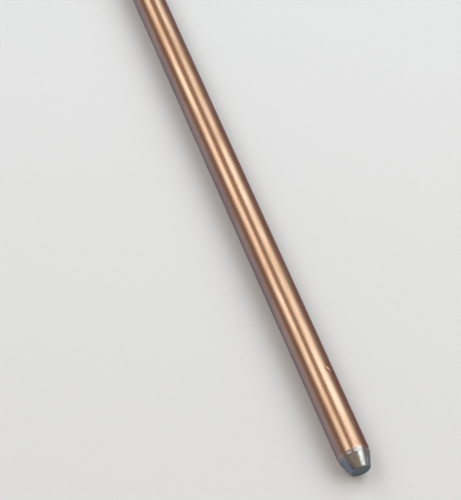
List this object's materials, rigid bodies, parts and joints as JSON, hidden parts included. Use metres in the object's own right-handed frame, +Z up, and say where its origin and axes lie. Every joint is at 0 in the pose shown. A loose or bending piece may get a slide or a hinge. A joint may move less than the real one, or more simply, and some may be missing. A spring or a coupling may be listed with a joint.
{
  "type": "earth rod",
  "caption": "Straight round earth rod: steel core in a bonded copper skin, with a bevelled bare steel point for driving into soil and a plain flat end to strike.",
  "frame": {"origin": "centre of the driven end's flat face, on the rod's axis", "axes": "+X along the rod from the driven end to the point, the way it is driven; +Z up as the rod lies"},
  "size_m": [1.2, 0.0142, 0.0142],
  "materials": {
    "steel": "bare turned steel",
    "copper": "bright drawn copper, lightly tarnished"
  },
  "bodies": {
    "root": {"steel_core": "steel", "copper_skin": "copper"}
  },
  "joints": []
}
